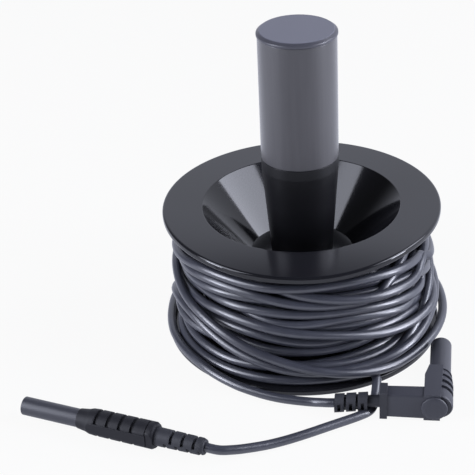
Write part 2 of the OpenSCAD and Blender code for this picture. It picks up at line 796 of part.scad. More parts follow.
module angled_lead_end() {
    stop = ap_barrel_x - 0.4;
    color("#3a3e4b") place_angled() translate([0, ap_arm_y, 0]) {
        translate([ap_end_x, 0, 0]) along_x() cylinder(d = lead_d, h = stop - ap_end_x);
        translate([stop - eps, 0, 0]) along_x() cylinder(d = wire_d, h = ap_wire_in);
    }
}

upper_shell();
lower_shell();
shell_screws();
spindle_bolt();
head_washer();
clamp_nut();
thrust_washer();
retaining_washer();
lock_nut();
handle_tube();
handle_neck();
handle_cap();
handle_bush();
lead_wound();
lead_tail_straight();
lead_tail_angled();
straight_grip();
straight_shroud();
straight_pin();
straight_spring();
straight_boot();
straight_lead_end();
angled_body();
angled_shroud();
angled_pin();
angled_spring();
angled_end_cap();
angled_boot();
angled_lead_end();
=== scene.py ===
# %% [markdown]
# A test lead on a hand reel. A black plastic drum, made of two funnels back to back, holds a
# long grey lead that was wound on by hand. A grey tube stands in the middle as the handle. One
# end of the lead has a straight plug, the other a right-angled one.
#
# The solids come from the frame that is loaded here. This lesson dresses them: it lays the lead
# turn by turn, turns the smooth plastic parts on a lathe made of nodes, rounds the edges of the
# moulded parts and gives every surface its finish. All lengths are in metres, and the drum's
# axis is the Z axis.

# %% load the frame
import bpy, bmesh, math
import numpy as np
from mathutils import Matrix, Vector


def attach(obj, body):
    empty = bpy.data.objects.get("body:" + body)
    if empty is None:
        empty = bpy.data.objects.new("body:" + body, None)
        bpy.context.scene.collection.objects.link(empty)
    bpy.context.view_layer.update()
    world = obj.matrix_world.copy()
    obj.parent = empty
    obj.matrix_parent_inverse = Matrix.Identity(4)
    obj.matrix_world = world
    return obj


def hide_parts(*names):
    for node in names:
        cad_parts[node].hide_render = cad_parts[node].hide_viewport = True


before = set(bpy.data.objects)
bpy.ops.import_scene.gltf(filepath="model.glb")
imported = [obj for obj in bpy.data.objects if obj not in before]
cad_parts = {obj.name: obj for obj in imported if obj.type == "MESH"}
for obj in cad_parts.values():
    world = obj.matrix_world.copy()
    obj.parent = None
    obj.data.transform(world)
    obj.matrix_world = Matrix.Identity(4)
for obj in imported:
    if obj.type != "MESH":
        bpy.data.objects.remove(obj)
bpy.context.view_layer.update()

MM = 0.001

# %% [markdown]
# The camera stands at the front and looks down at about 30 degrees, as a photographer's does over
# a small product. Its place, its aim and its small roll were fitted to the outlines of the upper
# flange, the funnel's mouth, the cap and the tube, with the flange taken as 120 mm across.

# %% camera
def stand_camera(place, aim, lens, roll):
    data = bpy.data.cameras.new("camera")
    data.lens, data.sensor_width, data.clip_start = lens, 36.0, 0.01
    camera = bpy.data.objects.new("camera", data)
    bpy.context.collection.objects.link(camera)
    look = (Vector(aim) - Vector(place)).to_track_quat("-Z", "Y").to_matrix().to_4x4()
    camera.matrix_world = Matrix.Translation(place) @ look @ Matrix.Rotation(roll, 4, "Z")
    bpy.context.scene.camera = camera
    return camera

camera = stand_camera((0.0, -0.60657, 0.38835), (-0.02815, 0.0, 0.04315), 120.93,
                      math.radians(-2.72))
print("camera: lens", camera.data.lens, "mm")

# %% [markdown]
# The lead is one cord of 3.9 mm, wound by hand. It could be drawn as rings, but rings never
# cross, and a wound lead does. So it is laid as on the real drum, one turn after another. A
# height table keeps, for each angle and each height on the drum, how far out a new strand would
# lie. Each strand that is laid raises the table round itself, and the next one rests on that.

# %% the height table
LEAD_D = 3.9                       # millimetres, as all numbers of the winding
BINS = 120                         # steps in one turn
STEP = 2 * math.pi / BINS
START = math.radians(-60.0)        # angle at which the lead goes in between the flanges
LEVELS = np.arange(5.2, 54.81, 0.2)
BEND = 12                          # steps that a bend of the stiff lead needs
CLIMB = 0.08                       # what a climb costs, for each level squared
MID_Z = 30.0
HUB_R, HUB_HALF, CONE_R, CONE_SLOPE = 26.7, 6.5, 27.99, 0.8766

def cone_height(z):
    return np.maximum(HUB_R, CONE_R + (np.abs(z - MID_Z) - HUB_HALF) * CONE_SLOPE)

def soften(values, rounds):
    values = values.copy()
    for _ in range(rounds):
        values[1:-1] = 0.25 * values[:-2] + 0.5 * values[1:-1] + 0.25 * values[2:]
    return values

class Winding:
    def __init__(self):
        self.table = np.tile(cone_height(LEVELS), (BINS, 1))
        self.r, self.z = [], []

    def bins(self, count):
        return (len(self.r) + np.arange(count)) % BINS

    def heights(self, z):
        return np.array([np.interp(v, LEVELS, self.table[b])
                         for b, v in zip(self.bins(len(z)), z)])

    def lay(self, r, z):
        z, r = np.asarray(z, float), np.asarray(r, float)
        lean = np.gradient(z) / (r * STEP)
        reach = LEAD_D * np.sqrt(1 + lean ** 2)
        for b, rr, zz, wide in zip(self.bins(len(r)), r, z, reach):
            off = np.clip(np.abs(LEVELS - zz) / wide, 0, 1)
            top = np.where(off < 1, rr + LEAD_D * np.sqrt(1 - off ** 2), 0)
            self.table[b] = np.maximum(self.table[b], top)
        self.r += list(r)
        self.z += list(z)

    def pulled(self, heights, rounds=160):
        # a taut strand runs straight between the strands that it rests on
        r = np.concatenate([self.r[-BEND:], heights])
        floor, turn = r.copy(), math.cos(STEP)
        for _ in range(rounds):
            chord = 2 * r[:-2] * r[2:] * turn / (r[:-2] + r[2:])
            r[1:-1] = np.maximum(floor[1:-1], chord)
        return soften(r, 20)[BEND:]

    def easiest(self, wish, grip, slope_cost, softness, reach=8):
        # the cheapest heights: low places, near the wished height, without a steep climb
        size = len(LEVELS)
        cost = np.full(size, 1e9)
        cost[int(np.argmin(np.abs(LEVELS - self.z[-1])))] = 0
        moves = np.zeros((len(wish), size), int)
        for k, b in enumerate(self.bins(len(wish))):
            best, move = np.full(size, 1e9), np.zeros(size, int)
            for step in range(-reach, reach + 1):
                tried = np.full(size, 1e9)
                if step >= 0:
                    tried[step:] = cost[:size - step]
                else:
                    tried[:step] = cost[-step:]
                tried += slope_cost * CLIMB * step * step
                better = tried < best
                best[better], move[better] = tried[better], step
            moves[k] = move
            cost = best + self.table[b] + grip[k] * (LEVELS - wish[k]) ** 2
        at, z = int(np.argmin(cost)), []
        for k in range(len(wish) - 1, -1, -1):
            z.append(LEVELS[at])
            at -= moves[k][at]
        return soften(np.concatenate([self.z[-BEND:], z[::-1]]), softness)[BEND:]

    def run(self, count, wish, grip, slope_cost=1.0, least_r=0.0, softness=90):
        z = self.easiest(wish, grip, slope_cost, softness)
        r = self.pulled(np.maximum(self.heights(z), least_r))
        self.lay(r[:count], z[:count])

winding = Winding()
print("height table:", winding.table.shape)

# %% [markdown]
# The inner end comes in along the lower flange and climbs the funnel to the hub. From there the
# turns go up and down the drum in layers. The last layers are filled up where the table is
# lowest, with crossings, as a hand does it.

# %% the hidden turns
LAYERS_TO, FILL_TO = 42.5, 46.5
PITCH = 4.05
HALF_STROKE = 24.5                  # from the middle to the last turn of a full layer
WOBBLE = 0.5                        # how far a hand-laid strand strays from its line
INNER_END = 5.8                     # how much higher the first turns pass over the inner end
STRIP = 30                          # steps of a layer that are laid at once
LOOK = 30                           # steps looked ahead, so that one run meets the next well
dice = np.random.default_rng(3)

entry_z = np.concatenate([np.linspace(6.6, 5.4, 11), np.full(12, 5.4),
                          5.4 + 19.1 * (0.5 - 0.5 * np.cos(np.linspace(0, math.pi, 50)))])
entry_r = np.concatenate([np.linspace(55, 44.1, 23), cone_height(entry_z[23:])])
winding.lay(entry_r, entry_z)

z_now, way = winding.z[-1], 1
while np.median(winding.table[:, 5:-5]) < LAYERS_TO:
    strip = []
    half = min(HALF_STROKE, HUB_HALF + (np.mean(winding.r[-60:]) + 1.2 - CONE_R) / CONE_SLOPE)
    for _ in range(STRIP):
        if (z_now - MID_Z) * way > half:
            way = -way
        z_now += way * PITCH / BINS
        strip.append(z_now)
    along = (len(winding.r) + np.arange(STRIP)) * STEP
    bins = winding.bins(STRIP)
    # the first turns of each layer pass over the inner end where it runs along the flange
    over = np.clip(1.85 - np.abs((bins + 60) % BINS - 71) / 19.0, 0, 1)
    stray = WOBBLE * np.sin(1.37 * along + 0.6) * np.sin(0.31 * along)
    strip = np.clip(np.array(strip) + stray, LEVELS[0] + INNER_END * over, LEVELS[-1])
    winding.lay(winding.pulled(winding.heights(strip), 60), strip)
layered = len(winding.r)
while winding.table[:, 3:-3].mean() < FILL_TO:
    count = int(dice.integers(75, 175))
    level = np.convolve(winding.table.mean(0), np.ones(21) / 21, "valid")
    wish = LEVELS[10 + int(np.argmin(level))]
    winding.run(count, np.full(count + LOOK, wish), np.full(count + LOOK, 0.004), 0.5)
hidden = len(winding.r)
print("hidden turns:", round(layered / BINS, 1), "in layers and",
      round((hidden - layered) / BINS, 1), "across")

# %% [markdown]
# The outer turns are the ones that show. Each row is one strand, from the first laid to the
# last, as angles in degrees with the height and the distance from the axis in millimetres that
# the strand has there. These rows are not a rule: they were traced on a picture of such a lead
# and worked out beforehand, outside this lesson. Two of the early rows only fill the drum under
# the others. Round the back each strand finds its own way, low between its neighbours.

# %% the turns that show
FRONT = [
    [(-150, 25, 47.5), (-120, 25.5, 48.3), (-105, 25.5, 49), (-92, 24.6, 49.8), (-80, 24.2, 49.8),
     (-65, 24.8, 48.5), (-50, 24.8, 48.2), (-30, 23, 48)],
    [(-165, 15.5, 49), (-140, 20.5, 50), (-109, 16.5, 51.3), (-100, 16.5, 51.3),
     (-92, 16.4, 51.3), (-86, 16.4, 51.3), (-79, 17.1, 51.3), (-71, 17.5, 51.3),
     (-60, 17.2, 51.3), (-45, 19.5, 49.5), (-30, 19, 49)],
    [(-165, 22.5, 49), (-140, 27, 49.5), (-110, 28.5, 50.5), (-84, 27.5, 51.6), (-74, 27.7, 51.6),
     (-60, 27.2, 51.7), (-46, 27, 51.8), (-32, 25.7, 51.5), (-15, 22.6, 51)],
    [(-165, 19, 49), (-142, 24.5, 50), (-125, 25.6, 51.6), (-118, 24.7, 51.6), (-112, 24, 51.6),
     (-106, 23.4, 51.6), (-100, 22.7, 51.6), (-92, 21.5, 51.6), (-87, 21.2, 51.6),
     (-79, 20.9, 51.6), (-74, 21, 51.4), (-63, 24, 51.4), (-54, 23.2, 51.8), (-44, 23.2, 51.6),
     (-30, 22.6, 51.2), (-8, 17, 51)],
    [(-186, 28, 51), (-178, 22, 52.3), (-170, 14, 53.8), (-164, 10.6, 54.2), (-152, 9.7, 53.6),
     (-140, 9.6, 53.6), (-130, 8.9, 53.6), (-121, 8.5, 53.6), (-76, 10.9, 50.4),
     (-71, 10.1, 50.5), (-62, 11.4, 50.6), (-52, 12.7, 50.7), (-42, 12.1, 50.8),
     (-29, 9.7, 50.8)],
    [(-165, 50.5, 49), (-150, 47, 49), (-136, 41, 49), (-122, 34, 49.3), (-110, 31.5, 50),
     (-92, 30.9, 50.4), (-81, 31, 50.5), (-71, 30.5, 50.5), (-59, 30.2, 50.6), (-45, 28.6, 50.4),
     (-29, 26.1, 50)],
    [(-165, 14, 49), (-130, 14.3, 50), (-108, 12.7, 51), (-85, 11.5, 52), (-71, 10.7, 53.1),
     (-62, 10.2, 53.4), (-52, 10.7, 53.3), (-43, 11.6, 53), (-35, 12.5, 52)],
    [(-165, 33, 50), (-137, 36.6, 51.4), (-126, 36.7, 51.6), (-117, 36.4, 52.2),
     (-109, 36.3, 52.7), (-99, 36.1, 53.1), (-88, 35.9, 53.2), (-84, 35.9, 53.2),
     (-77, 36.1, 53.3), (-69, 36.1, 53.4), (-58, 35.1, 53.5), (-44, 32.9, 53.3),
     (-29, 30.1, 52.5), (-16, 27.2, 52)],
    [(-165, 46, 48.5), (-120, 45.5, 48.5), (-80, 45.5, 49), (-50, 44.5, 49.5), (-30, 42, 50),
     (-10, 38, 50)],
    [(-192, 36, 50.5), (-182, 37, 51), (-168, 37.8, 51.8), (-144, 40.1, 54), (-134, 40.7, 53.7),
     (-126, 41.4, 53.4), (-117, 40.8, 51.9), (-111, 40.5, 50.7), (-78, 42, 49.8),
     (-70, 41.7, 49.8), (-59, 41.1, 49.8), (-46, 41.6, 49.7), (-35, 41.2, 49.7),
     (-8, 30.9, 49.6)],
    [(-180, 8, 54), (-168, 6.3, 55.3), (-157, 5.3, 55.4), (-144, 5.2, 55.5), (-104, 5.3, 56.2),
     (-87, 5.4, 56.2), (-70, 5.6, 56), (-50, 6.5, 55)],
    [(-192, 39.5, 50.5), (-182, 40.5, 51), (-153, 43.7, 53.4), (-145, 45.3, 54), (-137, 45.5, 54),
     (-130, 45.3, 54), (-125, 45.4, 54), (-116, 45, 54), (-107, 43.4, 53.9), (-99, 42.1, 53.8),
     (-90, 40.7, 53.7), (-82, 39.9, 53.2), (-75, 39.7, 52.2), (-67, 39.8, 51.4), (-52, 38.5, 50)],
    [(-165, 53, 49), (-130, 52.5, 49), (-119, 51.2, 49), (-108, 48.6, 49.6), (-91, 44.5, 53.7),
     (-82, 43.4, 53.7), (-72, 42.3, 53.7), (-63, 41.9, 53.6), (-55, 41.8, 53.5),
     (-46, 41.6, 53.4), (-36, 39.6, 53.2), (-26, 38.2, 52.7)],
    [(-194, 42, 51), (-182, 43.5, 51.4), (-168, 45.2, 52.3), (-145, 48.8, 53.8),
     (-135, 49.2, 53.8), (-126, 49.2, 53.8), (-119, 49.2, 53.8), (-112, 49, 53.8),
     (-105, 48.9, 53.7), (-99, 48.8, 53.7), (-88, 48.6, 53.6), (-79, 48.5, 53.6),
     (-71, 48.9, 53.5), (-62, 48.9, 53.4), (-52, 48.9, 53.2), (-44, 48.4, 53.1),
     (-34, 46.1, 52.8), (-18, 41.7, 52.3)],
    [(-168, 29.5, 50.3), (-145, 31.3, 53.7), (-137, 32.1, 54.6), (-131, 32.4, 54.6),
     (-125, 32.1, 54.7), (-119, 31.9, 54.7), (-113, 31.4, 54.8), (-107, 30.7, 54.8),
     (-99, 29.7, 54.9), (-94, 29, 54.9), (-88, 28.1, 54.9), (-80, 26.9, 55), (-72, 25.3, 55.1),
     (-64, 23.7, 55.1), (-55, 21.9, 55.2), (-48, 21.1, 55.1), (-40, 20.5, 54.9),
     (-34, 20.8, 54.7), (-4, 24, 53)],
    [(-170, 26, 50.3), (-156, 23, 52), (-142, 23, 54.1), (-137, 19.1, 54.5), (-128, 16.9, 55.2),
     (-119, 14.7, 55.6), (-111, 13.4, 56), (-103, 12.4, 56.3), (-94, 11.1, 56.6),
     (-62, 9.4, 56.9), (-55, 10.2, 57.2), (-48, 12, 57.4), (-42, 14.4, 57.7), (-32, 14, 58.2),
     (-25, 16, 58.3), (-15, 16.8, 58.1), (-7, 17.2, 57.9), (2, 18.2, 58.1), (10, 19.6, 58.3),
     (18, 21, 58.6), (30, 24, 58)],
    [(-194, 35.5, 55.4), (-186, 34.8, 55.8), (-178, 34.6, 55.4), (-172, 33.6, 55),
     (-150, 29.3, 56.3), (-141, 28.6, 57), (-133, 26.8, 57.4), (-126, 24.5, 57.7),
     (-120, 22.1, 57.9), (-114, 19.9, 58.1), (-107, 17.9, 58.3), (-99, 15.8, 58.4),
     (-92, 14.1, 58.6), (-83, 12.5, 58.9), (-75, 11.1, 59.2), (-66, 9.5, 59.5), (-55, 7.8, 60),
     (-46, 6.3, 60.5), (-31, 7, 60.7), (-24, 7.3, 61.4), (-16, 7.8, 61.9), (-8, 8.2, 61.9),
     (0, 8.6, 61.8), (13, 9.4, 61.8), (50, 8.6, 61.4), (90, 7.4, 61)],
]
HOLD, LET_GO = 3.0, 0.002            # how hard a strand keeps to its row, and past its ends
for strand in FRONT:
    angle_now = math.degrees(START) + len(winding.r) * math.degrees(STEP)
    marks, heights, radii = np.array(strand).T
    gap = (marks[0] - angle_now) % 360
    count = int(round((gap + marks[-1] - marks[0]) / math.degrees(STEP)))
    passed = np.arange(count + LOOK) * math.degrees(STEP)
    marks = gap + marks - marks[0]
    seen = (passed >= marks[0]) & (passed <= marks[-1])
    winding.run(count, np.where(seen, np.interp(passed, marks, heights), MID_Z),
                np.where(seen, HOLD, LET_GO), softness=14,
                least_r=np.where(seen, np.interp(passed, marks, radii), 0))
print("turns that show:", len(FRONT), "- widest", round(max(winding.r[hidden:]), 1), "mm")

# %% [markdown]
# The inner end leaves the drum for the straight plug, the outer end goes round the left side to
# the right-angled plug. The routes lie near those of the solids' tails, up to 3 mm beside them at
# the straight plug's and 6 mm at the other's, because they keep closer to the picture. A
# Catmull-Rom curve goes through each route's points without a kink.

# %% the two ends and the whole line
STRAIGHT_EXIT = (-39.97, -100.82, 5.6)
STRAIGHT_ROUTE = [
    (-34.4, -102.2, 5.1), (-28.6, -100.9, 4.2), (-23.8, -99.1, 3.4), (-18.7, -97, 2.7),
    (-13.9, -94.9, 2.2), (-8.7, -92.6, 2), (-3.9, -90.4, 2), (1.3, -87.8, 2),
    (6.2, -85.2, 2), (11.5, -82.4, 2), (16.9, -79.6, 2), (21.7, -76.9, 2),
    (25.2, -74.4, 2), (27.2, -71.3, 2), (28, -67.5, 2), (28.8, -63.3, 2.6),
    (29.5, -59, 4.1), (29.9, -55, 5.3)]
ANGLED_EXIT = (11.8, -71.05, 4.5)
ANGLED_ROUTE = [
    (9.1, -70.4, 4.1), (5.9, -69.2, 3.5), (2.6, -67.7, 2.7), (-3.8, -66, 2.4),
    (-10.3, -64.1, 2.3), (-16.9, -61.5, 2.4), (-23.4, -58.4, 2.8), (-28.5, -55.5, 3.2),
    (-34.4, -51.2, 3.8), (-39.3, -46.9, 4.4), (-43.3, -42.4, 4.95), (-47.1, -37.3, 5.1),
    (-50.3, -32.1, 5.15), (-53.1, -26.8, 5.15), (-55.3, -21.6, 5.15), (-57, -16.4, 5.15),
    (-58.1, -11.2, 5.15), (-58.8, -6, 5.15), (-59.2, -0.7, 5.15), (-59.2, 4.7, 5.15),
    (-58.9, 10.1, 5.15), (-58.2, 15.3, 5.15), (-56.4, 20.9, 5.2)]

def through(points, steps=6):
    p = np.array([points[0], *points, points[-1]], float)
    out = []
    for a, b, c, d in zip(p, p[1:], p[2:], p[3:]):
        for t in np.arange(steps) / steps:
            out.append(0.5 * (2 * b + (c - a) * t + (2 * a - 5 * b + 4 * c - d) * t ** 2
                              + (3 * b - a - 3 * c + d) * t ** 3))
    return np.array(out + [p[-1]])

angle = START + STEP * np.arange(len(winding.r))
turns = np.stack([np.array(winding.r) * np.cos(angle), np.array(winding.r) * np.sin(angle),
                  np.array(winding.z)], -1)
keep = np.arange(len(turns))
keep = keep[(keep >= hidden - BINS) | (keep % 3 == 0)]
round_back = [(r * math.cos(math.radians(a)), r * math.sin(math.radians(a)), z)
              for a, r, z in [(110, 60.8, 6.8), (130, 60.5, 6.1), (147, 60.3, 5.5)]]
line = np.concatenate([
    through([STRAIGHT_EXIT] + STRAIGHT_ROUTE)[:-1], turns[keep][:-1],
    through([turns[-1]] + round_back + ANGLED_ROUTE[::-1] + [ANGLED_EXIT], 8)]) * MM

# %% [markdown]
# A finish is a small network of nodes. To keep it readable, its sums are written as Python: the
# class below wraps a value socket, and a plus or a minus between two of them adds a Math node.
# One method makes every other kind of node. What varies over a surface here is only colour,
# roughness and the bump; all other numbers are set on the shader itself.

# %% finish helpers
class Value:
    def __init__(self, finish, socket):
        self.finish, self.socket = finish, socket

    def math(self, operation, first, second):
        return self.finish.node("ShaderNodeMath", {"operation": operation}, {0: first, 1: second})

    def __add__(self, other):
        return self.math("ADD", self, other)

    def __radd__(self, other):
        return self.math("ADD", other, self)

    def __sub__(self, other):
        return self.math("SUBTRACT", self, other)

    def __rsub__(self, other):
        return self.math("SUBTRACT", other, self)

    def __mul__(self, other):
        return self.math("MULTIPLY", self, other)

    def __rmul__(self, other):
        return self.math("MULTIPLY", other, self)

class Finish:
    def __init__(self, name, **shader):
        self.material = bpy.data.materials.new(name)
        self.material.use_nodes = True
        self.tree = self.material.node_tree
        self.tree.nodes.clear()
        self.shader = self.tree.nodes.new("ShaderNodeBsdfPrincipled")
        out = self.tree.nodes.new("ShaderNodeOutputMaterial")
        self.tree.links.new(self.shader.outputs[0], out.inputs[0])
        for label, value in shader.items():
            self.give(self.shader.inputs[label.replace("_", " ")], value)
        place = self.tree.nodes.new("ShaderNodeTexCoord")
        self.place = Value(self, place.outputs["Object"])

    def give(self, socket, value):
        if isinstance(value, Value):
            self.tree.links.new(value.socket, socket)
        elif isinstance(value, tuple) and len(value) == 3 and socket.type == "RGBA":
            socket.default_value = (*value, 1.0)
        else:
            socket.default_value = value

    def node(self, kind, settings=(), inputs=(), output=0):
        node = self.tree.nodes.new(kind)
        for key, value in dict(settings).items():
            if key == "stops":
                ramp = node.color_ramp
                while len(ramp.elements) < len(value):
                    ramp.elements.new(1.0)
                for element, (at, level) in zip(ramp.elements, value):
                    element.position, element.color = at, (level, level, level, 1.0)
            else:
                setattr(node, key, value)
        for socket, value in dict(inputs).items():
            self.give(node.inputs[socket], value)
        return Value(self, node.outputs[output])

    def noise(self, scale, detail=2.0, vector=None):
        return self.node("ShaderNodeTexNoise", {}, {
            "Vector": vector or self.place, "Scale": scale, "Detail": detail})

    def stretched(self, x, y, z):
        return self.node("ShaderNodeMapping", {}, {"Vector": self.place, "Scale": (x, y, z)})

    def ramp(self, value, *stops):
        return self.node("ShaderNodeValToRGB", {"stops": stops}, {"Fac": value})

    def mix(self, mask, first, second):
        return self.node("ShaderNodeMix", {"data_type": "RGBA"}, {0: mask, 6: first, 7: second},
                         output=2)

    def wear(self, colour=None, roughness=None, bump=None, depth=0.1, reach=0.0001):
        if colour is not None:
            self.give(self.shader.inputs["Base Color"], colour)
        if roughness is not None:
            self.give(self.shader.inputs["Roughness"], roughness)
        if bump is not None:
            self.give(self.shader.inputs["Normal"], self.node(
                "ShaderNodeBump", {}, {"Height": bump, "Strength": depth, "Distance": reach}))
        return self.material

print("finish helpers ready")

# %% [markdown]
# The lead's jacket is a soft, rubbery plastic in a slate grey. It has a satin skin with a very
# fine grain, and faint marks along it where it rubbed on its neighbours.

# %% the jacket's finish
jacket = Finish("soft_jacket", Specular_IOR_Level=1.0)
along = jacket.node("ShaderNodeAttribute", {"attribute_name": "along"}, output=2)
grain = jacket.noise(2600.0, 2.0)
patches = jacket.noise(45.0, 3.0)
rub_place = jacket.node("ShaderNodeCombineXYZ", {}, {0: along * 60.0, 1: patches})
rub = jacket.noise(1.0, 2.0, rub_place)
jacket.wear(
    colour=jacket.mix(jacket.ramp(rub, (0.35, 0.0), (0.7, 1.0)), (0.038, 0.040, 0.053),
                      (0.052, 0.055, 0.071)),
    roughness=0.23 + 0.10 * patches + 0.06 * rub,
    bump=grain, depth=0.12, reach=0.00006)
print("jacket finish:", len(jacket.tree.nodes), "nodes")

# %% [markdown]
# A node tree turns the line into the round lead. Curve to Mesh sweeps a circle along it, so the
# radius and the number of sides are inputs that can be changed at any time. The distance along
# the lead is stored as an attribute for its finish.

# %% node tree helpers
def new_tree(name, inputs):
    tree = bpy.data.node_groups.new(name, "GeometryNodeTree")
    tree.interface.new_socket("Geometry", in_out="INPUT", socket_type="NodeSocketGeometry")
    ids = {}
    for label, kind in inputs.items():
        ids[label] = tree.interface.new_socket(label, in_out="INPUT", socket_type=kind).identifier
    tree.interface.new_socket("Geometry", in_out="OUTPUT", socket_type="NodeSocketGeometry")
    start, end = tree.nodes.new("NodeGroupInput"), tree.nodes.new("NodeGroupOutput")

    def add(kind, links=(), **settings):
        node = tree.nodes.new(kind)
        for key, value in settings.items():
            setattr(node, key, value)
        for socket, value in dict(links).items():
            if isinstance(value, bpy.types.NodeSocket):
                tree.links.new(value, node.inputs[socket])
            else:
                node.inputs[socket].default_value = value
        return node

    def finish(geometry, material):
        real = add("GeometryNodeRealizeInstances", {"Geometry": geometry})
        done = add("GeometryNodeSetMaterial", {"Geometry": real.outputs[0], "Material": material})
        tree.links.new(done.outputs[0], end.inputs[0])
    return tree, ids, start, add, finish

def from_tree(name, mesh, tree, ids, values):
    source = bpy.data.objects.new(name, mesh)
    bpy.context.collection.objects.link(source)
    modifier = source.modifiers.new(name, "NODES")
    modifier.node_group = tree
    for label, value in values.items():
        modifier[ids[label]] = value
    graph = bpy.context.evaluated_depsgraph_get()
    made = bpy.data.meshes.new_from_object(source.evaluated_get(graph), depsgraph=graph)
    source.modifiers.remove(modifier)
    source.data = made
    made.name = name
    return source

def line_mesh(name, points):
    mesh = bpy.data.meshes.new(name)
    mesh.from_pydata([tuple(p) for p in points], [(i, i + 1) for i in range(len(points) - 1)], [])
    return mesh

print("helpers ready")

# %% the lead
lead_tree, lead_ids, start, add, finish = new_tree(
    "lead_sweep", {"Radius": "NodeSocketFloat", "Sides": "NodeSocketInt",
                   "Material": "NodeSocketMaterial"})
run_curve = add("GeometryNodeMeshToCurve", {"Mesh": start.outputs["Geometry"]})
ring = add("GeometryNodeCurvePrimitiveCircle", {"Resolution": start.outputs["Sides"],
                                                "Radius": start.outputs["Radius"]})
distance = add("GeometryNodeSplineParameter")
marked = add("GeometryNodeStoreNamedAttribute",
             {"Geometry": run_curve.outputs[0], "Name": "along",
              "Value": distance.outputs["Length"]}, data_type="FLOAT", domain="POINT")
swept = add("GeometryNodeCurveToMesh", {"Curve": marked.outputs[0], "Fill Caps": True,
                                        "Profile Curve": ring.outputs[0]})
smooth = add("GeometryNodeSetShadeSmooth", {"Geometry": swept.outputs[0], "Shade Smooth": True})
finish(smooth.outputs[0], start.outputs["Material"])

lead = from_tree("wound_lead", line_mesh("lead_line", line), lead_tree, lead_ids,
                 {"Radius": LEAD_D / 2 * MM, "Sides": 12, "Material": jacket.material})
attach(lead, "reel")
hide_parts("lead_wound", "lead_tail_straight", "lead_tail_angled")
print("lead mesh:", len(lead.data.polygons), "faces")

# %% [markdown]
# The drum's halves are injection moulded in black, from a polished mould: the funnel mirrors the
# handle. The neck comes from a duller mould. The tube is drawn, so its colour has faint streaks
# along it. The cap has a matt top and a smoother chamfer, told apart by their height, and its
# colour is painted light on the top and painted shade on the chamfer. Handling leaves faint
# smears, so the roughness of each wanders a little.

# %% plastic finishes
def moulded(name, colour, lighter, roughness, swing, grain_size, depth, shine=0.5, drawn=None,
            **coat):
    plastic = Finish(name, Specular_IOR_Level=shine, **coat)
    smears = plastic.noise(28.0, 4.0)
    tint = (plastic.noise(1.0, 4.0, plastic.stretched(*drawn)) if drawn
            else plastic.noise(9.0, 2.0))
    plastic.wear(
        colour=plastic.mix(plastic.ramp(tint, (0.3, 0.0), (0.75, 1.0)), colour, lighter),
        roughness=roughness + swing * smears,
        bump=plastic.noise(grain_size, 2.0), depth=depth, reach=0.00005)
    return plastic.material

shell_gloss = moulded("shell_gloss", (0.009, 0.009, 0.011), (0.013, 0.013, 0.016),
                      0.07, 0.07, 420.0, 0.02)
neck_plastic = moulded("neck_plastic", (0.006, 0.006, 0.007), (0.008, 0.008, 0.010),
                       0.34, 0.10, 1800.0, 0.08, shine=0.35)
tube_satin = moulded("tube_satin", (0.036, 0.034, 0.039), (0.047, 0.045, 0.050),
                     0.38, 0.10, 1500.0, 0.05, shine=0.5, drawn=(420.0, 420.0, 24.0),
                     Coat_Weight=1.0, Coat_Roughness=0.24)
cap_satin = Finish("cap_satin", Specular_IOR_Level=0.5)
# the cap's flat top is matt and its chamfered edge a little smoother; the top's lighter colour is
# painted light from above, and the edge's darker colour is painted shade
CAP_EDGE = 0.1395                   # metres; the change lies 0.6 to 0.7 mm above it
cap_height = cap_satin.node("ShaderNodeSeparateXYZ", {}, {0: cap_satin.place}, output=2)
top_matt_and_lit = cap_satin.ramp(1000.0 * (cap_height - CAP_EDGE), (0.55, 0.0), (0.75, 1.0))
cap_satin.wear(colour=cap_satin.mix(top_matt_and_lit, (0.070, 0.070, 0.084), (0.158, 0.160, 0.196)),
               roughness=0.30 + 0.12 * top_matt_and_lit + 0.08 * cap_satin.noise(28.0, 4.0),
               bump=cap_satin.noise(1500.0, 2.0), depth=0.05, reach=0.00005)
grip_satin = moulded("grip_satin", (0.010, 0.010, 0.013), (0.015, 0.015, 0.019),
                     0.50, 0.12, 2200.0, 0.18, shine=0.3)
plug_satin = moulded("plug_satin", (0.038, 0.039, 0.049), (0.048, 0.049, 0.061),
                     0.40, 0.12, 2200.0, 0.18)
shroud_satin = moulded("shroud_satin", (0.042, 0.043, 0.052), (0.052, 0.053, 0.064),
                       0.34, 0.10, 2200.0, 0.10)
boot_rubber = moulded("boot_rubber", (0.022, 0.023, 0.029), (0.030, 0.031, 0.038),
                      0.52, 0.14, 2600.0, 0.25)
bush_nylon = moulded("bush_nylon", (0.62, 0.58, 0.46), (0.68, 0.64, 0.53),
                     0.38, 0.10, 900.0, 0.10)
print("plastic finishes made")

# %% [markdown]
# The spindle, its nuts and its washers are zinc-plated steel, and the contact pins and their
# springs are taken to be nickel-plated. Turned metal has fine rings round its axis, so the noise
# on it is squeezed along that axis. The springs are stamped and have an even grain.

# %% metal finishes
def plated(name, colour, lighter, roughness, squeeze):
    metal = Finish(name, Metallic=1.0)
    rings = metal.noise(1.0, 3.0, metal.stretched(*squeeze))
    clouds = metal.noise(240.0, 3.0)
    metal.wear(colour=metal.mix(clouds, colour, lighter),
               roughness=roughness + 0.16 * rings + 0.08 * clouds,
               bump=rings, depth=0.10, reach=0.00003)
    return metal.material

zinc = plated("zinc_plate", (0.58, 0.59, 0.61), (0.70, 0.71, 0.72), 0.24, (300.0, 300.0, 5200.0))
nickel = plated("nickel_plate", (0.72, 0.68, 0.60), (0.80, 0.77, 0.70), 0.16,
                (2600.0, 2600.0, 300.0))
spring_wire = plated("spring_wire", (0.70, 0.69, 0.66), (0.78, 0.77, 0.74), 0.22,
                     (1800.0, 1800.0, 1800.0))
print("metal finishes made")

# %% [markdown]
# The drum's halves, the tube, the neck and the cap are bodies of revolution. Their real edges
# are rounded, and it is the roundings that catch the light. So each is turned on a lathe made of
# nodes: a grid takes its rows from the points of a profile and its columns from angles round the
# axis, and the seam and the poles are merged. The number of steps round is an input.

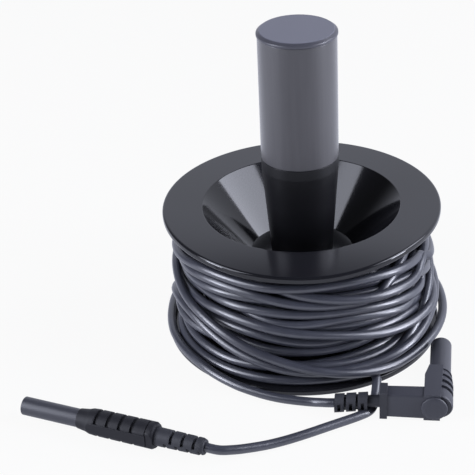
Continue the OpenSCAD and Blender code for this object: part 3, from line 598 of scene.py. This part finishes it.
# %% the lathe
lathe_tree, lathe_ids, start, add, finish = new_tree(
    "lathe", {"Steps round": "NodeSocketInt", "Points": "NodeSocketInt",
              "Material": "NodeSocketMaterial"})
columns = add("ShaderNodeMath", {0: start.outputs["Steps round"], 1: 1.0}, operation="ADD")
grid = add("GeometryNodeMeshGrid", {"Vertices X": columns.outputs[0],
                                    "Vertices Y": start.outputs["Points"]})
index = add("GeometryNodeInputIndex")
row = add("FunctionNodeIntegerMath", {0: index.outputs[0], 1: start.outputs["Points"]},
          operation="MODULO")
column = add("FunctionNodeIntegerMath", {0: index.outputs[0], 1: start.outputs["Points"]},
             operation="DIVIDE")
position = add("GeometryNodeInputPosition")
profile_at = add("GeometryNodeSampleIndex",
                 {"Geometry": start.outputs["Geometry"], "Value": position.outputs[0],
                  "Index": row.outputs[0]}, data_type="FLOAT_VECTOR", domain="POINT")
part_turn = add("ShaderNodeMath", {0: column.outputs[0], 1: start.outputs["Steps round"]},
                operation="DIVIDE")
turn_angle = add("ShaderNodeMath", {0: part_turn.outputs[0], 1: 2 * math.pi},
                 operation="MULTIPLY")
rotation = add("ShaderNodeCombineXYZ", {"Z": turn_angle.outputs[0]})
turned_at = add("ShaderNodeVectorRotate", {"Vector": profile_at.outputs[0],
                                           "Rotation": rotation.outputs[0]},
                rotation_type="EULER_XYZ")
shaped = add("GeometryNodeSetPosition", {"Geometry": grid.outputs["Mesh"],
                                         "Position": turned_at.outputs[0]})
welded = add("GeometryNodeMergeByDistance", {"Geometry": shaped.outputs[0], "Distance": 2e-6})
smooth = add("GeometryNodeSetShadeSmooth", {"Geometry": welded.outputs[0], "Shade Smooth": True})
finish(smooth.outputs[0], start.outputs["Material"])

GUARD = 0.08                        # millimetres from a rounding to the point beside it

def rounded(corners):
    """Profile points from (r, z, radius) corners, each rounded, with a close point beside it."""
    out = []
    for i, (r, z, radius) in enumerate(corners):
        here = Vector((r, z))
        if radius == 0:
            out.append(here)
            continue
        before = Vector(corners[i - 1][:2]) - here
        after = Vector(corners[(i + 1) % len(corners)][:2]) - here
        half = before.angle(after) / 2
        cut = min(radius / math.tan(half), 0.45 * before.length, 0.45 * after.length)
        radius = cut * math.tan(half)
        a, b = before.normalized(), after.normalized()
        centre = here + (a + b).normalized() * (radius / math.sin(half))
        first, last = here + a * cut, here + b * cut
        guard = min(GUARD, cut)
        out.append(first + a * guard)
        steps = 3 + int(radius > 0.5) * 3
        u, v = first - centre, last - centre
        sweep = math.pi - 2 * half
        for k in range(steps + 1):
            t = k / steps
            out.append(centre + (u * math.sin((1 - t) * sweep) + v * math.sin(t * sweep))
                       / math.sin(sweep))
        out.append(last + b * guard)
    return out

def turned(name, corners, steps, material, body, node):
    points = rounded(corners)
    points.append(points[0])
    profile = line_mesh(name, [(p.x * MM, 0.0, p.y * MM) for p in points])
    piece = from_tree(name, profile, lathe_tree, lathe_ids,
                      {"Steps round": steps, "Points": len(points), "Material": material})
    bm = bmesh.new()
    bm.from_mesh(piece.data)
    if bm.calc_volume(signed=True) < 0:
        bmesh.ops.reverse_faces(bm, faces=bm.faces)
    bm.to_mesh(piece.data)
    bm.free()
    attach(piece, body)
    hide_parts(node)
    print(name + ":", len(piece.data.polygons), "faces")
    return piece

print("lathe ready")

# %% [markdown]
# Each profile lists its corners as distance from the axis, height and rounding. The two halves of
# the drum share one profile. The upper flange's front edge hangs a little low, as a thin flange
# does over a full drum, so the turned copy is bent there by up to 2.6 mm.

# %% turn the smooth parts
DRUM_STEPS, HANDLE_STEPS = 192, 128  # steps round
HALF_DRUM = [(4.05, 0, 0), (8, 0, 0.3), (8, 4.1, 0.5), (22.2, 4.1, 0.5), (22.2, 0, 0.2),
             (24.6, 0, 0.2), (24.6, 5.6, 0.6), (43.36, 27, 0.8), (60, 27, 1.0), (60, 30, 1.0),
             (42.8, 30, 0.45), (22.2, 6.5, 0.5), (4.05, 6.5, 0.2)]
upper_half = turned("upper_half", [(r, MID_Z + z, e) for r, z, e in HALF_DRUM],
                    DRUM_STEPS, shell_gloss, "reel", "upper_shell")

MOUTH_R, FLANGE_WIDTH = 43.0, 17.0  # millimetres
SAG, SAG_AT = 2.6, -85.0            # millimetres at the rim, and the angle where it is greatest

def flange_sag(point):
    out = (math.hypot(point.x, point.y) / MM - MOUTH_R) / FLANGE_WIDTH
    from_front = (math.degrees(math.atan2(point.y, point.x)) - SAG_AT + 180.0) % 360.0 - 180.0
    from_front *= 1.8 if from_front > 0 else 1.0   # it ends sooner on the right
    if out <= 0 or abs(from_front) > 90:
        return 0.0
    return -SAG * MM * out ** 1.5 * math.cos(math.radians(from_front)) ** 2

def bend(piece, rule):
    for vertex in piece.data.vertices:
        vertex.co.z += rule(vertex.co)

bend(upper_half, flange_sag)
turned("lower_half", [(r, MID_Z - z, e) for r, z, e in HALF_DRUM[::-1]],
       DRUM_STEPS, shell_gloss, "reel", "lower_shell")
turned("neck", [(9, 37, 0.2), (13.3, 37, 0.3), (16.45, 78.5, 0.6), (16.45, 83, 0.15),
                (14.45, 83, 0.1), (14.45, 92, 0.3), (12.45, 92, 0.2), (12.45, 59.8, 0.4),
                (6.05, 59.8, 0.2), (6.05, 45.8, 0.2), (9, 45.8, 0.4)],
       HANDLE_STEPS, neck_plastic, "handle", "handle_neck")
turned("tube", [(14.5, 83, 0.1), (16.5, 83, 0.35), (16.5, 138, 0.12), (14.5, 138, 0.1)],
       HANDLE_STEPS, tube_satin, "handle", "handle_tube")
turned("cap", [(12.45, 129, 0.2), (14.45, 129, 0.3), (14.45, 138, 0.05), (16.6, 138, 0.05),
               (16.9, 138.3, 0.1), (16.9, 139.2, 0.6), (15.4, 140.3, 0.4), (0, 140.3, 0),
               (0, 138, 0), (12.45, 138, 0.3)],
       HANDLE_STEPS, cap_satin.material, "handle", "handle_cap")

# %% [markdown]
# The plugs are moulded too. Their solids have the right shape with keen edges, and no moulding
# has those. Each copy of a solid is welded, its flat triangles are joined, and a Bevel modifier
# with a width that fits the mould rounds the edges. Weighted normals keep its flats flat. The
# boot of the right-angled plug is soft, and the weight of the lead bends it down to the table.

# %% the moulded parts of the plugs
FLAT_FACES = math.radians(1.0)      # faces that meet at less than this become one
KEEN_EDGE = math.radians(38)        # edges sharper than this are rounded

def eased(node, name, width, material):
    mesh = bpy.data.objects[node].data.copy()
    mesh.name = name
    bm = bmesh.new()
    bm.from_mesh(mesh)
    bmesh.ops.remove_doubles(bm, verts=bm.verts, dist=2e-6)
    bmesh.ops.dissolve_limit(bm, angle_limit=FLAT_FACES, verts=bm.verts, edges=bm.edges)
    bm.to_mesh(mesh)
    bm.free()
    piece = bpy.data.objects.new(name, mesh)
    bpy.context.collection.objects.link(piece)
    bevel = piece.modifiers.new("eased", "BEVEL")
    bevel.width, bevel.segments, bevel.limit_method = width * MM, 2, "ANGLE"
    bevel.angle_limit, bevel.use_clamp_overlap = KEEN_EDGE, True
    bevel.miter_outer = "MITER_ARC"
    for polygon in mesh.polygons:
        polygon.use_smooth = True
    piece.modifiers.new("flat", "WEIGHTED_NORMAL").weight = 60
    graph = bpy.context.evaluated_depsgraph_get()
    piece.data = bpy.data.meshes.new_from_object(piece.evaluated_get(graph), depsgraph=graph)
    piece.modifiers.clear()
    piece.data.name = name
    piece.data.materials.clear()
    piece.data.materials.append(material)
    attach(piece, "reel")
    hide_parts(node)
    print(name + ":", len(piece.data.polygons), "faces")
    return piece

eased("straight_grip", "grip", 0.18, grip_satin)
eased("straight_shroud", "straight_sleeve", 0.25, shroud_satin)
eased("straight_boot", "straight_relief", 0.15, boot_rubber)
eased("angled_body", "angled_housing", 0.22, plug_satin)
eased("angled_shroud", "angled_sleeve", 0.25, shroud_satin)
eased("angled_end_cap", "angled_disc", 0.25, plug_satin)
angled_relief = eased("angled_boot", "angled_relief", 0.15, boot_rubber)
angled_stub = eased("angled_lead_end", "angled_stub", 0.05, jacket.material)

ARM_START, ARM_WAY = (54.2, -74.3), (-0.9945, 0.1045)
BOOT_AT, BOOT_LENGTH = 24.0, 18.5   # millimetres along the arm
DROOP = 2.1                         # millimetres at the boot's end

def boot_droop(point):
    # nothing at the arm, most at the end where the lead comes out
    along_arm = (ARM_WAY[0] * (point.x / MM - ARM_START[0])
                 + ARM_WAY[1] * (point.y / MM - ARM_START[1]))
    return -DROOP * MM * max(0.0, (along_arm - BOOT_AT) / BOOT_LENGTH) ** 1.1

bend(angled_relief, boot_droop)
bend(angled_stub, boot_droop)

# %% [markdown]
# The spindle's parts, the pins and their springs stay as the solids are. They only get a finish.

# %% finish the rest of the solids
for node, material in {
        "shell_screws": zinc, "spindle_bolt": zinc, "head_washer": zinc, "clamp_nut": zinc,
        "thrust_washer": zinc, "retaining_washer": zinc, "lock_nut": zinc,
        "handle_bush": bush_nylon, "straight_pin": nickel, "angled_pin": nickel,
        "straight_spring": spring_wire, "angled_spring": spring_wire,
        "straight_lead_end": jacket.material}.items():
    solid = bpy.data.objects[node].data
    for i in range(len(solid.materials)):
        solid.materials[i] = material
print("solids finished")

# %% [markdown]

# %% [markdown]
# The product stands on a white table. A soft box stands on each side of it and a low strip of
# light beside each box, and the strips draw the bright lines along the round parts. The wall
# behind is white and the room darkens towards the camera, which is what the gloss mirrors. The
# table is a plain plane that keeps the shadow. The camera sees the wall as pure white and the
# table as nearly that.

# %% room and light
COOL_WHITE = (0.84, 0.87, 1.0)
LIT_POINT = (0, 0, 0.05)

def soft_light(name, place, size, watts):
    data = bpy.data.lights.new(name, "AREA")
    data.shape, data.size, data.size_y, data.energy = "RECTANGLE", size[0], size[1], watts
    data.color = COOL_WHITE
    lamp = bpy.data.objects.new(name, data)
    bpy.context.collection.objects.link(lamp)
    look = (Vector(LIT_POINT) - Vector(place)).to_track_quat("-Z", "Y").to_matrix().to_4x4()
    lamp.matrix_world = Matrix.Translation(place) @ look

def toward(azimuth, elevation, distance):
    a, e = math.radians(azimuth), math.radians(elevation)
    return (distance * math.cos(a) * math.cos(e), distance * math.sin(a) * math.cos(e),
            LIT_POINT[2] + distance * math.sin(e))

soft_light("right_box", toward(-2, 36, 1.0), (0.86, 0.50), 9.0)
soft_light("left_box", toward(203, 30, 1.0), (0.60, 0.75), 7.0)
soft_light("right_strip", toward(-16, 8, 0.9), (0.22, 0.40), 6.5)
soft_light("left_strip", toward(202, 8, 0.9), (0.22, 0.40), 4.0)
print("two soft boxes and two strips")

def light_path(tree, *labels):
    path = tree.nodes.new("ShaderNodeLightPath")
    total = path.outputs[labels[0]]
    for label in labels[1:]:
        either = tree.nodes.new("ShaderNodeMath")
        either.operation = "MAXIMUM"
        tree.links.new(total, either.inputs[0])
        tree.links.new(path.outputs[label], either.inputs[1])
        total = either.outputs[0]
    return total

def seen_colour(tree):
    # pure white for the camera, a cool white for everything that mirrors the room
    colour = tree.nodes.new("ShaderNodeMix")
    colour.data_type = "RGBA"
    colour.inputs[6].default_value = (*COOL_WHITE, 1.0)
    colour.inputs[7].default_value = (1.0, 1.0, 1.0, 1.0)
    tree.links.new(light_path(tree, "Is Camera Ray"), colour.inputs[0])
    return colour.outputs[2]

def graded(tree, value, low, high, at_low, at_high):
    part = tree.nodes.new("ShaderNodeMapRange")
    part.interpolation_type = "SMOOTHSTEP"
    tree.links.new(value, part.inputs["Value"])
    for label, number in (("From Min", low), ("From Max", high), ("To Min", at_low),
                          ("To Max", at_high)):
        part.inputs[label].default_value = number
    return part.outputs[0]

def combine(tree, operation, first, second):
    node = tree.nodes.new("ShaderNodeMath")
    node.operation = operation
    for socket, value in zip(node.inputs, (first, second)):
        if isinstance(value, float):
            socket.default_value = value
        else:
            tree.links.new(value, socket)
    return node.outputs[0]

world = bpy.data.worlds.new("white_tent")
bpy.context.scene.world = world
world.use_nodes = True
room = world.node_tree
backdrop = room.nodes["Background"]
direction = room.nodes.new("ShaderNodeSeparateXYZ")
room.links.new(room.nodes.new("ShaderNodeTexCoord").outputs["Object"], direction.inputs[0])
sideways, away, up = direction.outputs
wall = graded(room, combine(room, "ADD", combine(room, "MULTIPLY", sideways, 0.45), away),
              0.1, 0.85, 0.08, 1.0)
mirrored = combine(room, "MULTIPLY", wall, graded(room, up, 0.5, 1.0, 1.0, 0.25))
camera_sees = light_path(room, "Is Camera Ray")
mirrors = light_path(room, "Is Glossy Ray", "Is Transmission Ray")
strength = combine(room, "MAXIMUM", camera_sees, combine(room, "MULTIPLY", mirrors, mirrored))
AMBIENT = 0.13
plain = combine(room, "MULTIPLY", combine(room, "SUBTRACT", 1.0, mirrors), AMBIENT)
room.links.new(combine(room, "MAXIMUM", strength, plain), backdrop.inputs["Strength"])
room.links.new(seen_colour(room), backdrop.inputs["Color"])

HALF = 3.0                          # metres from the middle of the table to its edge
TABLE_WHITE, GLOW_SHARE = 0.50, 0.93
floor_mesh = bpy.data.meshes.new("table")
floor_mesh.from_pydata([(-HALF, -HALF, 0), (HALF, -HALF, 0), (HALF, HALF, 0), (-HALF, HALF, 0)],
                       [], [(0, 1, 2, 3)])
table = bpy.data.objects.new("table", floor_mesh)
bpy.context.collection.objects.link(table)
white = bpy.data.materials.new("white_table")
white.use_nodes = True
tree = white.node_tree
paint = tree.nodes["Principled BSDF"]
paint.inputs["Base Color"].default_value = (TABLE_WHITE, TABLE_WHITE, TABLE_WHITE, 1.0)
paint.inputs["Roughness"].default_value = 0.9
glow = tree.nodes.new("ShaderNodeEmission")
shown = tree.nodes.new("ShaderNodeMixShader")
share = tree.nodes.new("ShaderNodeMapRange")
share.inputs["To Min"].default_value = 0.0
share.inputs["To Max"].default_value = GLOW_SHARE
tree.links.new(light_path(tree, "Is Camera Ray", "Is Glossy Ray", "Is Transmission Ray"),
               share.inputs["Value"])
tree.links.new(seen_colour(tree), glow.inputs["Color"])
tree.links.new(share.outputs[0], shown.inputs[0])
tree.links.new(paint.outputs[0], shown.inputs[1])
tree.links.new(glow.outputs[0], shown.inputs[2])
tree.links.new(shown.outputs[0], tree.nodes["Material Output"].inputs[0])
floor_mesh.materials.append(white)
bpy.context.scene.view_settings.view_transform = "Standard"
print("room ready")
